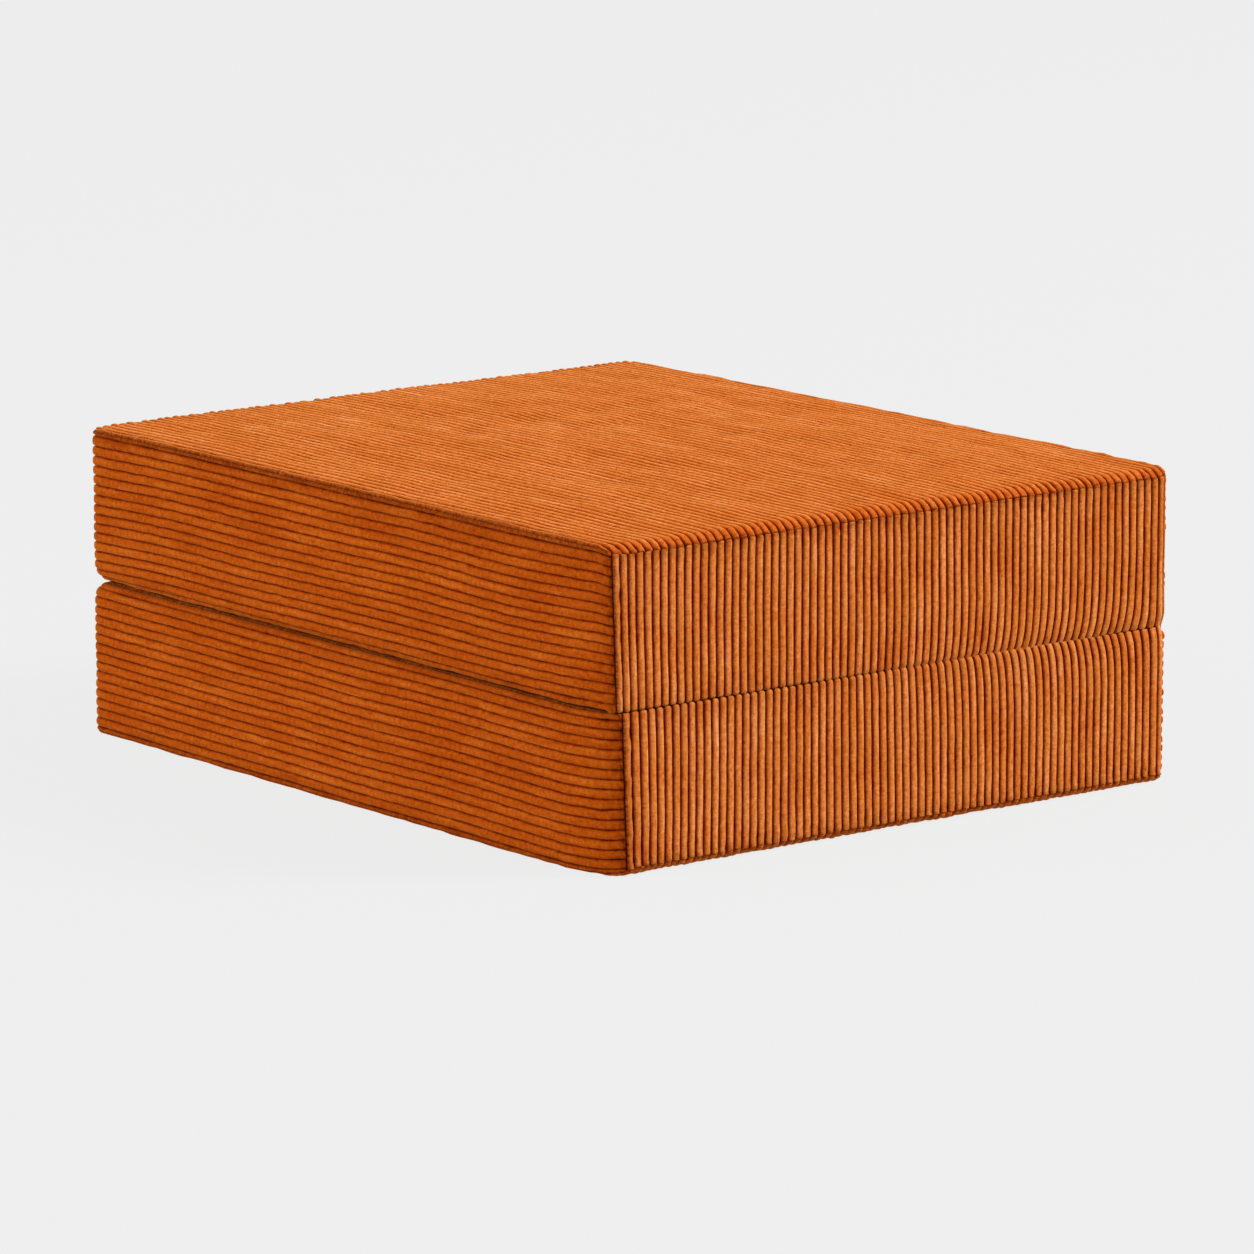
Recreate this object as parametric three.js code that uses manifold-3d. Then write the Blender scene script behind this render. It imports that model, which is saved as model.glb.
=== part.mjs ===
// A bi-fold foam futon mattress, folded. Two equal panels lie one on the other and are joined along
// one short side by a cloth tape, so that the upper panel swings over to lie end to end with the lower.
// Millimetres, +Z up. The floor is z = 0 and the origin is under the middle of the bounding box.
// X runs along the mattress (the fold is at +X and the zippers are at -X), Y across it.

import * as THREE from "three";
import { mergeVertices } from "three/addons/utils/BufferGeometryUtils.js";
import Module from "manifold-3d";

const wasm = await Module();
wasm.setup();

// Driving dimensions of one panel.
const PANEL_LENGTH = 868;
const PANEL_WIDTH = 712;
const PANEL_THICKNESS = 158;
const PANEL_GAP = 1.6;
const CORNER_RADIUS = 24;
const EDGE_RADIUS = 9;

// Layers, each inside the one before it.
const COVER_THICKNESS = 4;
const TAPE_THICKNESS = 0.8;
const LINER_THICKNESS = 0.8;
const CLEARANCE = 0.3;
const TAPE_DEPTH = COVER_THICKNESS + CLEARANCE;
const LINER_DEPTH = TAPE_DEPTH + TAPE_THICKNESS + CLEARANCE;
const FOAM_DEPTH = LINER_DEPTH + LINER_THICKNESS + CLEARANCE;
const SUPPORT_FOAM_HEIGHT = 110;
const LINER_OPENING_WIDTH = 420;
const LINER_OPENING_HEIGHT = 60;

// The zipper in the back band.
const BACK_SEAM_Y = 318;
const ZIPPER_SLOT_HALF = 8;
const TAPE_HALF_WIDTH = 15;
const TAPE_MEETING_GAP = 0.4;
const CHAIN_HALF_LENGTH = 296;
const TOOTH_PITCH = 8;
const TOOTH_LENGTH = 3.7;
const TOOTH_REACH = 1.2;
const RAIL_INNER = 1.6;
const RAIL_OUTER = 3.6;
const CHAIN_OUTER_DEPTH = 1.7;
const END_STOP_LENGTH = 4;

// The slider and its pull tab.
const SLIDER_LENGTH = 14;
const SLIDER_REST_Y = 284;
const PLATE_THICKNESS = 1.5;
const FLANGE_THICKNESS = 1.4;
const ARCH_WIDTH = 2.4;
const ARCH_HALF_LENGTH = 4.2;
const ARCH_POST = 1.2;
const ARCH_OPENING = 2.3;
const ARCH_TOP = 1;
const PULL_LENGTH = 26;
const PULL_HALF_WIDTH = 4.2;
const PULL_THICKNESS = 1.4;
const PULL_WINDOW_HALF = 1.8;
const PULL_WINDOW_LENGTH = 4.6;

// The tape in the crease, and how far outside the hinge faces the fold turns.
const FOLD_TAPE_WIDTH = 34;
const FOLD_TAPE_THICKNESS = 1;
const FOLD_OFFSET = 0.8;

// Depths are measured inwards from a panel's back face; the arch stands out of it by ARCH_REACH.
const PLATE_OUTER_DEPTH = CHAIN_OUTER_DEPTH - CLEARANCE - PLATE_THICKNESS;
const ARCH_REACH = ARCH_OPENING + ARCH_TOP - PLATE_OUTER_DEPTH;
const PANEL_CENTRE_X = ARCH_REACH / 2;
const BACK_X = PANEL_CENTRE_X - PANEL_LENGTH / 2;
const FRONT_X = PANEL_CENTRE_X + PANEL_LENGTH / 2;
const MIDDLE_Z = PANEL_THICKNESS / 2;
const SEAM_Z = EDGE_RADIUS;

const corduroy = { color: 0xc8622a, roughness: 0.92, metalness: 0 };
const linerKnit = { color: 0xe9e4d8, roughness: 0.95, metalness: 0 };
const supportFoam = { color: 0xf2ead0, roughness: 0.95, metalness: 0 };
const comfortFoam = { color: 0xd9e6ea, roughness: 0.95, metalness: 0 };
const zipperTape = { color: 0xa8501f, roughness: 0.9, metalness: 0 };
const zipperNylon = { color: 0x9a4a20, roughness: 0.5, metalness: 0 };
const zipperMetal = { color: 0x9c8f80, roughness: 0.35, metalness: 0.9 };

// Geometry helpers

// The plan outline of a rounded rectangle as points, anticlockwise seen from above.
function planOutline(length, width, radius, segments) {
  const points = [];
  const corners = [[1, -1, -90], [1, 1, 0], [-1, 1, 90], [-1, -1, 180]];
  for (const [sx, sy, startAngle] of corners) {
    for (let i = 0; i <= segments; i += 1) {
      const angle = THREE.MathUtils.degToRad(startAngle + (90 * i) / segments);
      const x = sx * (length / 2 - radius) + radius * Math.cos(angle);
      const y = sy * (width / 2 - radius) + radius * Math.sin(angle);
      points.push([x, y]);
    }
  }
  return points;
}

// A closed block with rounded upright corners and rounded top and bottom edges, centred in plan.
function roundedBlock(length, width, low, high, cornerRadius, edgeRadius) {
  const cornerSegments = 5;
  const edgeSegments = 3;
  const rings = [];
  for (let i = 0; i <= edgeSegments; i += 1) {
    const angle = (Math.PI / 2) * (i / edgeSegments);
    rings.push([edgeRadius * (1 - Math.sin(angle)), low + edgeRadius * (1 - Math.cos(angle))]);
  }
  for (let i = edgeSegments; i >= 0; i -= 1) {
    const angle = (Math.PI / 2) * (i / edgeSegments);
    rings.push([edgeRadius * (1 - Math.sin(angle)), high - edgeRadius * (1 - Math.cos(angle))]);
  }
  const positions = [];
  for (const [inset, z] of rings) {
    const radius = Math.max(cornerRadius - inset, 0.5);
    const outline = planOutline(length - 2 * inset, width - 2 * inset, radius, cornerSegments);
    for (const [x, y] of outline) positions.push(PANEL_CENTRE_X + x, y, z);
  }
  const count = 4 * (cornerSegments + 1);
  const bottomCentre = positions.length / 3;
  positions.push(PANEL_CENTRE_X, 0, low);
  const topCentre = bottomCentre + 1;
  positions.push(PANEL_CENTRE_X, 0, high);
  const faces = [];
  for (let k = 0; k < count; k += 1) {
    const next = (k + 1) % count;
    for (let ring = 0; ring + 1 < rings.length; ring += 1) {
      const a = ring * count + k;
      const b = ring * count + next;
      faces.push(a, b, b + count, a, b + count, a + count);
    }
    const top = (rings.length - 1) * count;
    faces.push(bottomCentre, next, k);
    faces.push(topCentre, top + k, top + next);
  }
  const geometry = new THREE.BufferGeometry();
  geometry.setAttribute("position", new THREE.Float32BufferAttribute(positions, 3));
  geometry.setIndex(faces);
  return geometry;
}

// The same block, drawn in by a depth on every side.
function panelBlock(depth) {
  return roundedBlock(
    PANEL_LENGTH - 2 * depth,
    PANEL_WIDTH - 2 * depth,
    depth,
    PANEL_THICKNESS - depth,
    CORNER_RADIUS - depth,
    Math.max(EDGE_RADIUS - depth, 2),
  );
}

// A box between two corners.
function boxBetween(low, high) {
  const geometry = new THREE.BoxGeometry(high[0] - low[0], high[1] - low[1], high[2] - low[2]);
  return geometry.translate((low[0] + high[0]) / 2, (low[1] + high[1]) / 2, (low[2] + high[2]) / 2);
}

// An upright prism on a plan outline, between two heights.
function uprightPrism(outline, low, high) {
  const shape = new THREE.Shape(outline.map(([x, y]) => new THREE.Vector2(x, y)));
  const geometry = new THREE.ExtrudeGeometry(shape, { depth: high - low, bevelEnabled: false });
  return geometry.translate(0, 0, low);
}

function toSolid(geometry) {
  const plain = geometry.clone();
  for (const name of Object.keys(plain.attributes)) {
    if (name !== "position") plain.deleteAttribute(name);
  }
  const merged = mergeVertices(plain, 1e-4);
  const mesh = new wasm.Mesh({
    numProp: 3,
    vertProperties: new Float32Array(merged.attributes.position.array),
    triVerts: new Uint32Array(merged.index.array),
  });
  return new wasm.Manifold(mesh);
}

function toGeometry(solid) {
  const mesh = solid.getMesh();
  const geometry = new THREE.BufferGeometry();
  geometry.setAttribute("position", new THREE.BufferAttribute(new Float32Array(mesh.vertProperties), 3));
  geometry.setIndex(new THREE.BufferAttribute(new Uint32Array(mesh.triVerts), 1));
  geometry.computeVertexNormals();
  return geometry;
}

function namedMesh(name, geometry, look) {
  const mesh = new THREE.Mesh(geometry, new THREE.MeshStandardMaterial(look));
  mesh.name = name;
  return mesh;
}

// The cover: one shell, cut along its seams into the pieces it is sewn from

const coverShell = toSolid(panelBlock(0)).subtract(toSolid(panelBlock(COVER_THICKNESS)));
const BEYOND = 50;
const SEAM_GAP = CLEARANCE;

function coverSlice(low, high) {
  const box = boxBetween(
    [BACK_X - BEYOND, -PANEL_WIDTH / 2 - BEYOND, low],
    [FRONT_X + BEYOND, PANEL_WIDTH / 2 + BEYOND, high],
  );
  return coverShell.intersect(toSolid(box));
}

function outerSheet() {
  return toGeometry(coverSlice(-BEYOND, SEAM_Z - SEAM_GAP / 2));
}

function innerSheet() {
  return toGeometry(coverSlice(PANEL_THICKNESS - SEAM_Z + SEAM_GAP / 2, PANEL_THICKNESS + BEYOND));
}

function bandRing() {
  return coverSlice(SEAM_Z + SEAM_GAP / 2, PANEL_THICKNESS - SEAM_Z - SEAM_GAP / 2);
}

// The hinge face ends at seams halfway round the two front corners, so its cutter is a wedge in plan.
function hingeFace() {
  const half = PANEL_WIDTH / 2;
  const cutter = uprightPrism(
    [
      [FRONT_X - half, 0],
      [FRONT_X + BEYOND, -half - BEYOND + SEAM_GAP],
      [FRONT_X + BEYOND, half + BEYOND - SEAM_GAP],
    ],
    0,
    PANEL_THICKNESS,
  );
  return toGeometry(bandRing().intersect(toSolid(cutter)));
}

// A side band runs from its front corner seam, round the back corner, to the back seam.
function sideBand(side) {
  const half = PANEL_WIDTH / 2;
  const outline = [
    [FRONT_X - half - SEAM_GAP, 0],
    [FRONT_X + BEYOND, side * (half + BEYOND + SEAM_GAP)],
    [BACK_X - BEYOND, side * (half + BEYOND + SEAM_GAP)],
    [BACK_X - BEYOND, side * (BACK_SEAM_Y + SEAM_GAP / 2)],
    [BACK_X + BEYOND, side * (BACK_SEAM_Y + SEAM_GAP / 2)],
    [BACK_X + BEYOND, 0],
  ];
  const points = side > 0 ? outline : outline.slice().reverse();
  const cutter = uprightPrism(points, 0, PANEL_THICKNESS);
  return toGeometry(bandRing().intersect(toSolid(cutter)));
}

// The back band is two strips, above and below the zipper.
function backBandHalf(low, high) {
  const cutter = boxBetween(
    [BACK_X - BEYOND, -BACK_SEAM_Y + SEAM_GAP / 2, low],
    [BACK_X + BEYOND, BACK_SEAM_Y - SEAM_GAP / 2, high],
  );
  return toGeometry(bandRing().intersect(toSolid(cutter)));
}

// The filling

// The liner is a sock round the foam, with a lapped opening at the back where the foam goes in.
function innerLiner() {
  const sock = toSolid(panelBlock(LINER_DEPTH));
  const hollow = toSolid(panelBlock(LINER_DEPTH + LINER_THICKNESS));
  const opening = boxBetween(
    [BACK_X, -LINER_OPENING_WIDTH / 2, MIDDLE_Z - LINER_OPENING_HEIGHT / 2],
    [BACK_X + BEYOND, LINER_OPENING_WIDTH / 2, MIDDLE_Z + LINER_OPENING_HEIGHT / 2],
  );
  return toGeometry(sock.subtract(hollow).subtract(toSolid(opening)));
}

function foamLayer(low, high) {
  const slab = boxBetween(
    [BACK_X, -PANEL_WIDTH / 2, low],
    [FRONT_X, PANEL_WIDTH / 2, high],
  );
  return toGeometry(toSolid(panelBlock(FOAM_DEPTH)).intersect(toSolid(slab)));
}

// The zipper. It is drawn lying down, with x along the chain, y across it and z outwards, and then
// stood up against the back face.

function standOnBack(geometry, depth) {
  geometry.rotateX(Math.PI / 2);
  geometry.rotateZ(-Math.PI / 2);
  return geometry.translate(BACK_X + depth, 0, MIDDLE_Z);
}

// Lying down, z = 0 is the piece's inner side; depth is where that side goes.
function extrudeOnBack(shape, thickness, depth) {
  const geometry = new THREE.ExtrudeGeometry(shape, {
    depth: thickness,
    bevelEnabled: false,
    curveSegments: 6,
  });
  return standOnBack(geometry, depth);
}

function rectangle(x0, x1, y0, y1) {
  const shape = new THREE.Shape();
  shape.moveTo(x0, y0);
  shape.lineTo(x1, y0);
  shape.lineTo(x1, y1);
  shape.lineTo(x0, y1);
  shape.closePath();
  return shape;
}

function zipperTapeStrip(side) {
  const inner = (side * TAPE_MEETING_GAP) / 2;
  const outer = side * TAPE_HALF_WIDTH;
  const reach = BACK_SEAM_Y - 2;
  const shape = rectangle(-reach, reach, Math.min(inner, outer), Math.max(inner, outer));
  return extrudeOnBack(shape, TAPE_THICKNESS, TAPE_DEPTH + TAPE_THICKNESS);
}

// One row of teeth on its rail. The two rows' teeth stand in each other's gaps.
function toothRow(side) {
  const first = -CHAIN_HALF_LENGTH + (side > 0 ? 0 : TOOTH_PITCH / 2);
  const points = [[-CHAIN_HALF_LENGTH, side * RAIL_OUTER]];
  if (side < 0) points.push([-CHAIN_HALF_LENGTH, side * RAIL_INNER]);
  for (let x = first; x + TOOTH_LENGTH <= CHAIN_HALF_LENGTH; x += TOOTH_PITCH) {
    if (x > -CHAIN_HALF_LENGTH) points.push([x, side * RAIL_INNER]);
    points.push([x, -side * TOOTH_REACH]);
    points.push([x + TOOTH_LENGTH, -side * TOOTH_REACH]);
    points.push([x + TOOTH_LENGTH, side * RAIL_INNER]);
  }
  points.push([CHAIN_HALF_LENGTH, side * RAIL_INNER]);
  points.push([CHAIN_HALF_LENGTH, side * RAIL_OUTER]);
  const shape = new THREE.Shape(points.map(([x, y]) => new THREE.Vector2(x, y)));
  return extrudeOnBack(shape, COVER_THICKNESS - CHAIN_OUTER_DEPTH, COVER_THICKNESS);
}

function endStop(end) {
  const near = CHAIN_HALF_LENGTH + CLEARANCE;
  const far = near + END_STOP_LENGTH;
  const shape = rectangle(Math.min(end * near, end * far), Math.max(end * near, end * far), -RAIL_OUTER, RAIL_OUTER);
  return extrudeOnBack(shape, COVER_THICKNESS - CHAIN_OUTER_DEPTH, COVER_THICKNESS);
}

// The slider: a plate over the chain, a flange down each side of it, and the arch that holds the pull.
function slider() {
  const half = SLIDER_LENGTH / 2;
  const flangeInner = RAIL_OUTER + CLEARANCE;
  const flangeOuter = flangeInner + FLANGE_THICKNESS;
  const plateInnerDepth = PLATE_OUTER_DEPTH + PLATE_THICKNESS;
  const outline = new THREE.Shape();
  outline.moveTo(-half + 2, -flangeOuter);
  outline.lineTo(half - 2, -flangeOuter);
  outline.quadraticCurveTo(half, -flangeOuter, half, -flangeOuter + 2);
  outline.lineTo(half, flangeOuter - 2);
  outline.quadraticCurveTo(half, flangeOuter, half - 2, flangeOuter);
  outline.lineTo(-half + 2, flangeOuter);
  outline.quadraticCurveTo(-half, flangeOuter, -half, flangeOuter - 2);
  outline.lineTo(-half, -flangeOuter + 2);
  outline.quadraticCurveTo(-half, -flangeOuter, -half + 2, -flangeOuter);
  let solid = toSolid(extrudeOnBack(outline, PLATE_THICKNESS, plateInnerDepth));
  for (const side of [-1, 1]) {
    const near = Math.min(side * flangeInner, side * flangeOuter);
    const far = Math.max(side * flangeInner, side * flangeOuter);
    const flange = rectangle(-half + 2, half - 2, near, far);
    solid = solid.add(toSolid(extrudeOnBack(flange, COVER_THICKNESS - PLATE_OUTER_DEPTH - 0.5, COVER_THICKNESS)));
  }
  const arch = rectangle(-ARCH_HALF_LENGTH, ARCH_HALF_LENGTH, -ARCH_WIDTH / 2, ARCH_WIDTH / 2);
  const archInner = ARCH_HALF_LENGTH - ARCH_POST;
  const passage = rectangle(-archInner, archInner, -ARCH_WIDTH, ARCH_WIDTH);
  const archSolid = toSolid(extrudeOnBack(arch, ARCH_OPENING + ARCH_TOP + 0.5, PLATE_OUTER_DEPTH + 0.5));
  const passageSolid = toSolid(extrudeOnBack(passage, ARCH_OPENING, PLATE_OUTER_DEPTH));
  solid = solid.add(archSolid.subtract(passageSolid));
  return toGeometry(solid).translate(0, SLIDER_REST_Y, 0);
}

// The pull: a tab whose near bar lies under the arch, with a window that the arch stands in.
function pullTab() {
  const bar = PULL_THICKNESS / 2;
  const neck = 11;
  const shape = new THREE.Shape();
  shape.moveTo(-bar, -PULL_HALF_WIDTH + 0.6);
  shape.lineTo(neck, -PULL_HALF_WIDTH + 0.6);
  shape.lineTo(PULL_LENGTH - PULL_HALF_WIDTH, -PULL_HALF_WIDTH);
  shape.absarc(PULL_LENGTH - PULL_HALF_WIDTH, 0, PULL_HALF_WIDTH, -Math.PI / 2, Math.PI / 2, false);
  shape.lineTo(neck, PULL_HALF_WIDTH - 0.6);
  shape.lineTo(-bar, PULL_HALF_WIDTH - 0.6);
  shape.closePath();
  const hole = new THREE.Path();
  hole.moveTo(bar, -PULL_WINDOW_HALF);
  hole.lineTo(bar, PULL_WINDOW_HALF);
  hole.lineTo(bar + PULL_WINDOW_LENGTH, PULL_WINDOW_HALF);
  hole.lineTo(bar + PULL_WINDOW_LENGTH, -PULL_WINDOW_HALF);
  hole.closePath();
  shape.holes.push(hole);
  const pivotDepth = PLATE_OUTER_DEPTH - ARCH_OPENING / 2;
  const geometry = extrudeOnBack(shape, PULL_THICKNESS, pivotDepth + bar);
  return geometry.translate(0, SLIDER_REST_Y, 0);
}

// One panel, standing on its outer sheet

function panel(prefix) {
  const group = new THREE.Group();
  const add = (name, geometry, look) => group.add(namedMesh(`${prefix}_${name}`, geometry, look));
  add("outer_sheet", outerSheet(), corduroy);
  add("inner_sheet", innerSheet(), corduroy);
  add("hinge_face", hingeFace(), corduroy);
  add("left_side_band", sideBand(-1), corduroy);
  add("right_side_band", sideBand(1), corduroy);
  add("back_band_outer_half", backBandHalf(0, MIDDLE_Z - ZIPPER_SLOT_HALF), corduroy);
  add("back_band_inner_half", backBandHalf(MIDDLE_Z + ZIPPER_SLOT_HALF, PANEL_THICKNESS), corduroy);
  add("inner_liner", innerLiner(), linerKnit);
  add("support_foam", foamLayer(0, SUPPORT_FOAM_HEIGHT), supportFoam);
  add("comfort_foam", foamLayer(SUPPORT_FOAM_HEIGHT + CLEARANCE, PANEL_THICKNESS), comfortFoam);
  add("zipper_tape_outer", zipperTapeStrip(-1), zipperTape);
  add("zipper_tape_inner", zipperTapeStrip(1), zipperTape);
  add("zipper_teeth_outer", toothRow(-1), zipperNylon);
  add("zipper_teeth_inner", toothRow(1), zipperNylon);
  add("zipper_top_stop", endStop(1), zipperMetal);
  add("zipper_bottom_stop", endStop(-1), zipperMetal);
  add("zipper_slider", slider(), zipperMetal);
  add("zipper_pull", pullTab(), zipperMetal);
  return group;
}

// The doubled tape lies in the crease, sewn to both covers, and reaches the line the fold turns on.
function foldHingeTape() {
  const middle = PANEL_THICKNESS + PANEL_GAP / 2;
  const half = PANEL_WIDTH / 2 - CORNER_RADIUS;
  return boxBetween(
    [FRONT_X - FOLD_TAPE_WIDTH, -half, middle - FOLD_TAPE_THICKNESS / 2],
    [FRONT_X - FOLD_OFFSET, half, middle + FOLD_TAPE_THICKNESS / 2],
  );
}

const mattress = new THREE.Group();
const lower = panel("lower");
const upper = panel("upper");
upper.rotation.x = Math.PI;
upper.position.z = 2 * PANEL_THICKNESS + PANEL_GAP;
mattress.add(lower, upper);
mattress.add(namedMesh("fold_hinge_tape", foldHingeTape(), zipperTape));

export default mattress;
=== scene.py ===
"""The looks of the bi-fold corduroy futon mattress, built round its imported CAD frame.

Each panel is a foam block in a sewn cover. Every cover piece is a sheet of wide-wale corduroy whose
ribs are real geometry, laid on the skin of a softly rounded block. A panel is worked out lying on its
outer sheet, in the place of the lower panel, and the upper panel is the same thing turned over.
Lengths are in metres.
"""

import math

import bmesh
import bpy
import numpy as np
from mathutils import Matrix, Vector


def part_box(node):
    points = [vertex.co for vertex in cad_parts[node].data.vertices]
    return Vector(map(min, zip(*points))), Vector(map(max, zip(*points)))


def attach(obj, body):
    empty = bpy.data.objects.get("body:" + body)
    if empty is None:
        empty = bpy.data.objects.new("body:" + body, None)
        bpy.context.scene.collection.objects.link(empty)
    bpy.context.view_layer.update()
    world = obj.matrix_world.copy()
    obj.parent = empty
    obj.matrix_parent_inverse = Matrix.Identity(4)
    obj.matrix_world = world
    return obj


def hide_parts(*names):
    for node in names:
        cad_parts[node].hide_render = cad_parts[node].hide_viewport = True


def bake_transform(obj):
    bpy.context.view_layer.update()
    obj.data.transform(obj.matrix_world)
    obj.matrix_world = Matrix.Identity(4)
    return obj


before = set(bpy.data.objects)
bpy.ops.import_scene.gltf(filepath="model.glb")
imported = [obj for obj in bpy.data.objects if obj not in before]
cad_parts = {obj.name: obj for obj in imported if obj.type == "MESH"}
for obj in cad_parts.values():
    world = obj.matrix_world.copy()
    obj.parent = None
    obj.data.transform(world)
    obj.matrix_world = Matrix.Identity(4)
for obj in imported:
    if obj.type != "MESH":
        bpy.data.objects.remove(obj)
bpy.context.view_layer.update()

# Sizes that come from the frame
OUTER_LOW, OUTER_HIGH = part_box("lower_outer_sheet")
PANEL_MIDDLE_X = (OUTER_LOW.x + OUTER_HIGH.x) / 2
HALF_LENGTH = (OUTER_HIGH.x - OUTER_LOW.x) / 2
HALF_WIDTH = (OUTER_HIGH.y - OUTER_LOW.y) / 2
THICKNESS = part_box("lower_inner_sheet")[1].z
STACK_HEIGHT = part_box("upper_outer_sheet")[1].z
BACK_OUTER_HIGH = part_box("lower_back_band_outer_half")[1]
BACK_INNER_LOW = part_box("lower_back_band_inner_half")[0]
BACK_SEAM = BACK_OUTER_HIGH.y

# The block under the cover, seen from above. A corner is round at power 2, and squarer above it.
CORNER = 0.024
NEAR_CORNER_POWER = 8
FAR_CORNER_POWER = 2.2
BACK_NEAR_CORNER_POWER = 2.4
BACK_FAR_CORNER_POWER = 5
CORE_X = HALF_LENGTH - CORNER
CORE_Y = HALF_WIDTH - CORNER

# How far from the near corner its pull along the hinge face is felt
PULL_LENGTH = 0.070
PULL_WIDTH = 0.090

# The tilt of the skin at the outer and inner seams, and how far the sheets reach towards them
SEAM_TILT = math.radians(38)
SHEET_TURN = math.pi / 2 - SEAM_TILT
INNER_SEAM_TILT = math.radians(78)
OUTER_SHEET_REACH = 0.0245
INNER_SHEET_REACH = 0.0195

# The crease: its tightest radius, how far its lips are raised to meet there, the share of any wider
# radius that is added to that, and how deep the lips are
CREASE_RADIUS = 0.0058
CREASE_CLOSING = 0.0022
WIDE_CREASE_CLOSING = 0.55
LIP_DEPTH = 0.005

# The swell of the foam
HINGE_FACE_SWELL = 0.0007
SIDE_SWELL = 0.0022
CROWN = 0.005
FRONT_ROOM = 0.0004

# The corduroy. A rib share is how much of the pitch a rib takes up, and the rest is groove.
RIBS_ACROSS = 75
RIB_PITCH = 2 * HALF_WIDTH / RIBS_ACROSS
RIB_HEIGHT = 0.0036
RIB_STEPS = (0.0, 0.05, 0.09, 0.14, 0.22, 0.35, 0.5, 0.65, 0.78, 0.86, 0.91, 0.95)
RIB_SHARE = 0.88
HINGE_RIB_SHARE = 0.90
RIB_SWEEP = 0.010
RIB_END_LENGTH = 0.0050
BAND_RIBS = 16
BAND_RIB_HEIGHT = 0.0027
HEM = 0.004
# How far in from a seam the painted shade reaches.
SEAM_SHADE_WIDTH = 0.010

# Inside the cover, and the zippers
LINER_OPENING = (0.39, 0.06)
INNER_INSET = 0.006
TAPE_TUCK = 0.004
COIL_PITCH = 0.002
COIL_THREAD = 0.00034
COIL_TURN_STEPS = 10
COIL_THREAD_SIDES = 5
METAL_BEVEL = 0.0003

# The tape that joins the panels
FOLD_TAPE_BEND = 0.0004
FOLD_TAPE_DEPTH = 0.005
FOLD_TAPE_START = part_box("fold_hinge_tape")[0].x - PANEL_MIDDLE_X

RANDOM = np.random.default_rng(7)


# Smooth noise: a sum of waves in set directions, the same on every run

class Waves:
    """A smooth random field of points, from -1 to 1 or so, with bumps about one wavelength apart."""

    def __init__(self, wavelength, count=14):
        directions = RANDOM.normal(size=(count, 3))
        directions /= np.linalg.norm(directions, axis=1, keepdims=True)
        lengths = wavelength * RANDOM.uniform(0.7, 1.6, size=(count, 1))
        self.k = 2 * math.pi * directions / lengths
        self.phase = RANDOM.uniform(0, 2 * math.pi, size=count)
        self.scale = math.sqrt(2 / count) * 0.8

    def __call__(self, points):
        return np.sin(points @ self.k.T + self.phase).sum(-1) * self.scale


SWAY = Waves(0.30)
SWELL = Waves(0.22)
DENT = Waves(0.09)
RIPPLE = Waves(0.035)
PUCKER = Waves(0.012)
PLUMP = Waves(0.05)


def smooth(x, low, high):
    """0 below low, 1 above high, and a smooth step between."""
    t = np.clip((x - low) / (high - low), 0, 1)
    return t * t * (3 - 2 * t)


def stacked(*parts):
    return np.stack(np.broadcast_arrays(*parts), -1)


# The skin of a panel, in the place of the lower one but with x measured from the panel's middle

ARC = CORNER * math.pi / 2
SIDE_LENGTH = 2 * CORE_X


def plan_outline(s):
    """The point and outward direction at arc length s round the panel, seen from above.

    s is 0 at the middle of the hinge face and grows anticlockwise, so +Y comes next.
    """
    stretches = [
        (CORE_Y, (HALF_LENGTH, 0), (0, 1), (1, 0)),
        (ARC, (CORE_X, CORE_Y), 0, None),
        (SIDE_LENGTH, (CORE_X, HALF_WIDTH), (-1, 0), (0, 1)),
        (ARC, (-CORE_X, CORE_Y), 90, None),
        (2 * CORE_Y, (-HALF_LENGTH, CORE_Y), (0, -1), (-1, 0)),
        (ARC, (-CORE_X, -CORE_Y), 180, None),
        (SIDE_LENGTH, (-CORE_X, -HALF_WIDTH), (1, 0), (0, -1)),
        (ARC, (CORE_X, -CORE_Y), 270, None),
        (CORE_Y, (HALF_LENGTH, -CORE_Y), (0, 1), (1, 0)),
    ]
    s = np.mod(s, sum(stretch[0] for stretch in stretches))
    point = np.zeros(s.shape + (2,))
    out = np.zeros(s.shape + (2,))
    start = 0.0
    for length, origin, along, normal in stretches:
        here = (s >= start) & (s <= start + length)
        d = s[here] - start
        if normal is None:
            angle = math.radians(along) + d / CORNER
            direction = stacked(np.cos(angle), np.sin(angle))
            point[here] = np.array(origin) + CORNER * direction
            out[here] = direction
        else:
            point[here] = np.array(origin) + d[:, None] * np.array(along)
            out[here] = normal
        start += length
    return point, out


def outer_radii(out):
    """The radii of the outer edge, above and below its seam. The sheet rolls widest over the front."""
    front = np.maximum(out[..., 0], 0) ** 2
    back = np.maximum(-out[..., 0], 0) ** 2
    side = 1 - front - back
    return 0.020 * front + 0.006 * side + 0.008 * back, 0.0045 * front + 0.003 * side + 0.004 * back


def crease_radius(x, y, upper):
    """The radius of the inner edge, which opens out towards the zippers and the far end of the crease."""
    stack_y = -y if upper else y
    far = smooth(stack_y, -0.15, HALF_WIDTH) * smooth(x, 0.2, CORE_X)
    behind = smooth(-x, -CORE_X, 0.1)
    back = smooth(-x, 0.30, HALF_LENGTH)
    return CREASE_RADIUS + 0.0058 * far + 0.0060 * behind + 0.0042 * back


def near_side(upper):
    """The side of a panel, in its own place, that comes to the stack's near corner at -Y."""
    return 1 if upper else -1


def corner_pull(share, upper):
    """How far the near corner is pulled along the hinge face, at shares of the panel's height.

    The corner's seam leans: it lies further along the hinge face towards the floor.
    """
    return 0.0030 + 0.0070 * share if upper else 0.0242 - 0.0070 * share


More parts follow.
